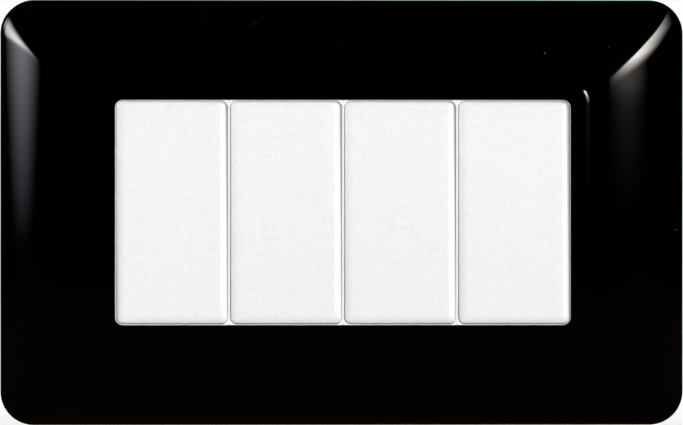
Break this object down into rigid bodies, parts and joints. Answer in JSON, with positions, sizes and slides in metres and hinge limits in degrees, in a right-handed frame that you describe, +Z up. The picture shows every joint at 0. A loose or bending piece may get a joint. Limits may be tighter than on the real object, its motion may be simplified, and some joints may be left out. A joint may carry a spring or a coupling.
{
  "type": "grid switch plate",
  "caption": "Rectangular wall switch plate: a pillowed gloss-black cover round a row of white rocker switch modules snapped into a support frame, with screw terminals behind.",
  "frame": {"origin": "centre of the plate on the wall plane, midway between the two wall-box screw slots", "axes": "+X to the right seen from the front, +Y into the wall, +Z up; the keys face -Y"},
  "size_m": [0.135, 0.0296, 0.084],
  "materials": {
    "plate_black": "polished",
    "key_white": "fine satin grain",
    "body_white": "satin",
    "base_grey": "moulded",
    "frame_grey": "moulded",
    "plunger_ivory": "smooth",
    "spring_steel": "bright wire",
    "contact_brass": "stamped",
    "contact_silver": "smooth",
    "screw_steel": "zinc plated",
    "clamp_steel": "zinc plated"
  },
  "bodies": {
    "housing": {"cover_plate": "plate_black", "support_frame": "frame_grey", "fixed_contact_1": "contact_silver", "common_terminal_1": "contact_brass", "switched_terminal_1": "contact_brass", "module_front_1": "body_white", "module_base_1": "base_grey", "fixed_contact_2": "contact_silver", "common_terminal_2": "contact_brass", "switched_terminal_2": "contact_brass", "module_front_2": "body_white", "module_base_2": "base_grey", "fixed_contact_3": "contact_silver", "common_terminal_3": "contact_brass", "switched_terminal_3": "contact_brass", "module_front_3": "body_white", "module_base_3": "base_grey", "fixed_contact_4": "contact_silver", "common_terminal_4": "contact_brass", "switched_terminal_4": "contact_brass", "module_front_4": "body_white", "module_base_4": "base_grey", "terminal_screws": "screw_steel", "clamp_plates": "clamp_steel"},
    "key_1": {"key_1": "key_white", "spring_1": "spring_steel"},
    "plunger_1": {"plunger_1": "plunger_ivory"},
    "lever_1": {"contact_lever_1": "contact_brass", "lever_contact_1": "contact_silver"},
    "key_2": {"key_2": "key_white", "spring_2": "spring_steel"},
    "plunger_2": {"plunger_2": "plunger_ivory"},
    "lever_2": {"contact_lever_2": "contact_brass", "lever_contact_2": "contact_silver"},
    "key_3": {"key_3": "key_white", "spring_3": "spring_steel"},
    "plunger_3": {"plunger_3": "plunger_ivory"},
    "lever_3": {"contact_lever_3": "contact_brass", "lever_contact_3": "contact_silver"},
    "key_4": {"key_4": "key_white", "spring_4": "spring_steel"},
    "plunger_4": {"plunger_4": "plunger_ivory"},
    "lever_4": {"contact_lever_4": "contact_brass", "lever_contact_4": "contact_silver"}
  },
  "joints": [
    {"name": "key_1_rock", "type": "hinge", "parent": "housing", "child": "key_1", "pos_m": [-0.03375, -0.0057, 0], "axis": [1, 0, 0], "range_deg": [0, 2.8]},
    {"name": "plunger_1_slide", "type": "slide", "parent": "key_1", "child": "plunger_1", "axis": [0, -0.9997, 0.0244], "range_m": [0, 0.0008], "stiffness_N_per_m": 300, "springref_m": -0.006, "deforming": ["spring_1"]},
    {"name": "lever_1_rock", "type": "hinge", "parent": "housing", "child": "lever_1", "pos_m": [-0.03375, 0.0066, 0], "axis": [1, 0, 0], "range_deg": [-12, 0]},
    {"name": "key_2_rock", "type": "hinge", "parent": "housing", "child": "key_2", "pos_m": [-0.01125, -0.0057, 0], "axis": [1, 0, 0], "range_deg": [0, 2.8]},
    {"name": "plunger_2_slide", "type": "slide", "parent": "key_2", "child": "plunger_2", "axis": [0, -0.9997, 0.0244], "range_m": [0, 0.0008], "stiffness_N_per_m": 300, "springref_m": -0.006, "deforming": ["spring_2"]},
    {"name": "lever_2_rock", "type": "hinge", "parent": "housing", "child": "lever_2", "pos_m": [-0.01125, 0.0066, 0], "axis": [1, 0, 0], "range_deg": [-12, 0]},
    {"name": "key_3_rock", "type": "hinge", "parent": "housing", "child": "key_3", "pos_m": [0.01125, -0.0057, 0], "axis": [1, 0, 0], "range_deg": [0, 2.8]},
    {"name": "plunger_3_slide", "type": "slide", "parent": "key_3", "child": "plunger_3", "axis": [0, -0.9997, 0.0244], "range_m": [0, 0.0008], "stiffness_N_per_m": 300, "springref_m": -0.006, "deforming": ["spring_3"]},
    {"name": "lever_3_rock", "type": "hinge", "parent": "housing", "child": "lever_3", "pos_m": [0.01125, 0.0066, 0], "axis": [1, 0, 0], "range_deg": [-12, 0]},
    {"name": "key_4_rock", "type": "hinge", "parent": "housing", "child": "key_4", "pos_m": [0.03375, -0.0057, 0], "axis": [1, 0, 0], "range_deg": [0, 2.8]},
    {"name": "plunger_4_slide", "type": "slide", "parent": "key_4", "child": "plunger_4", "axis": [0, -0.9997, 0.0244], "range_m": [0, 0.0008], "stiffness_N_per_m": 300, "springref_m": -0.006, "deforming": ["spring_4"]},
    {"name": "lever_4_rock", "type": "hinge", "parent": "housing", "child": "lever_4", "pos_m": [0.03375, 0.0066, 0], "axis": [1, 0, 0], "range_deg": [-12, 0]}
  ],
  "couplings": [
    {"joint": "lever_1_rock", "follows": "key_1_rock", "ratio": -4.2857},
    {"joint": "lever_2_rock", "follows": "key_2_rock", "ratio": -4.2857},
    {"joint": "lever_3_rock", "follows": "key_3_rock", "ratio": -4.2857},
    {"joint": "lever_4_rock", "follows": "key_4_rock", "ratio": -4.2857}
  ]
}
